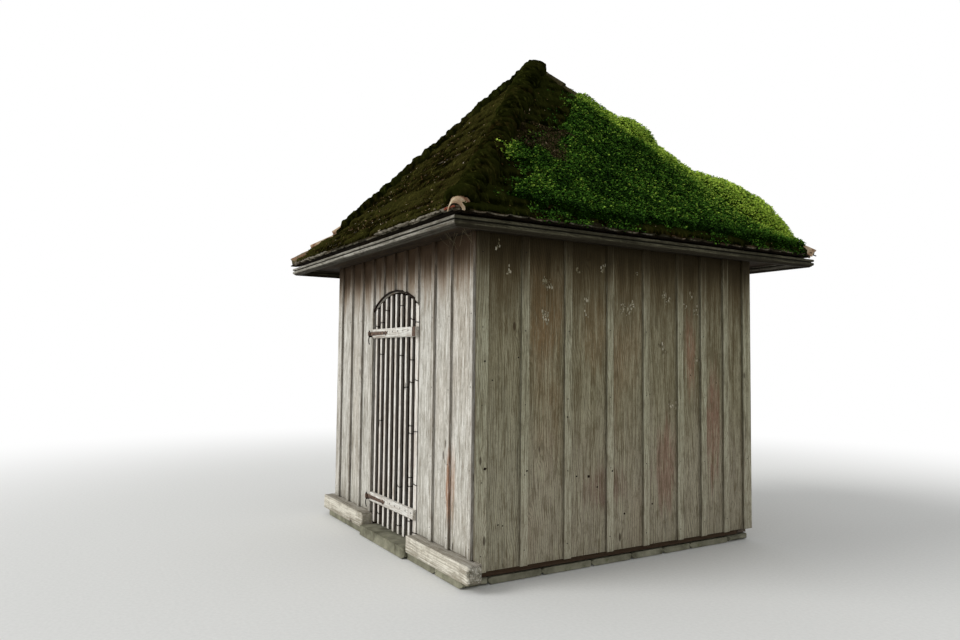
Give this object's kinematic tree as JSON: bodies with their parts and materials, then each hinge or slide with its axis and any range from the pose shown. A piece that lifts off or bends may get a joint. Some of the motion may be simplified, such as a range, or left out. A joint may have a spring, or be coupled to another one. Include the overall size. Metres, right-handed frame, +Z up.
{
  "type": "small timber wayside chapel with a slatted gate",
  "caption": "Small square boarded wayside chapel with boxed eaves, a kicked-out hipped tile roof and an arched slatted gate on strap hinges.",
  "frame": {"origin": "on the ground under the middle of the chapel, at the middle of the roof's plan", "axes": "+Z up, -Y out of the front with the gate, +X to the right of someone facing the gate"},
  "size_m": [3.686, 3.846, 4.71],
  "materials": {
    "front_boards": "weathered grey boards",
    "side_boards": "weathered brown-grey boards",
    "frame_timber": "old sawn timber",
    "sill_timber": "weathered grey beam",
    "eave_wood": "weathered moulding",
    "gate_wood": "weathered pale slats",
    "iron": "rusty wrought iron",
    "roof_tile": "moss-grown clay tiles",
    "hip_clay": "lichen-grown clay",
    "roof_growth": "thick growth of moss and creeper",
    "footing_stone": "rough stone",
    "floor_stone": "worn stone floor"
  },
  "bodies": {
    "chapel": {"footings_front": "footing_stone", "footings_side": "footing_stone", "footing_back": "footing_stone", "threshold_stone": "footing_stone", "floor_slab": "floor_stone", "sill_front_left": "sill_timber", "sill_front_right": "sill_timber", "sill_left": "sill_timber", "sill_right": "sill_timber", "sill_back": "sill_timber", "corner_posts": "frame_timber", "door_posts": "frame_timber", "door_header": "frame_timber", "plates_front_back": "frame_timber", "plates_side": "frame_timber", "king_post": "frame_timber", "hip_rafters": "frame_timber", "front_wall_left": "front_boards", "front_wall_right": "front_boards", "front_wall_over": "front_boards", "front_battens": "front_boards", "right_wall": "side_boards", "right_battens": "side_boards", "left_wall": "side_boards", "left_battens": "side_boards", "back_wall": "side_boards", "back_battens": "side_boards", "soffits_front_back": "eave_wood", "soffits_side": "eave_wood", "cornice_front": "eave_wood", "cornice_right": "eave_wood", "cornice_back": "eave_wood", "cornice_left": "eave_wood", "roof_front": "roof_tile", "roof_right": "roof_tile", "roof_back": "roof_tile", "roof_left": "roof_tile", "apex_cap": "hip_clay", "hip_tiles": "hip_clay", "moss_carpet": "roof_growth", "pintles": "iron"},
    "gate": {"gate_slats": "gate_wood", "gate_rails": "gate_wood", "strap_hinges": "iron", "lock_plate": "iron"}
  },
  "joints": [
    {"name": "gate_hinge", "type": "hinge", "parent": "chapel", "child": "gate", "pos_m": [-0.489, -1.541, 1], "axis": [0, 0, -1], "range_deg": [0, 150]}
  ]
}
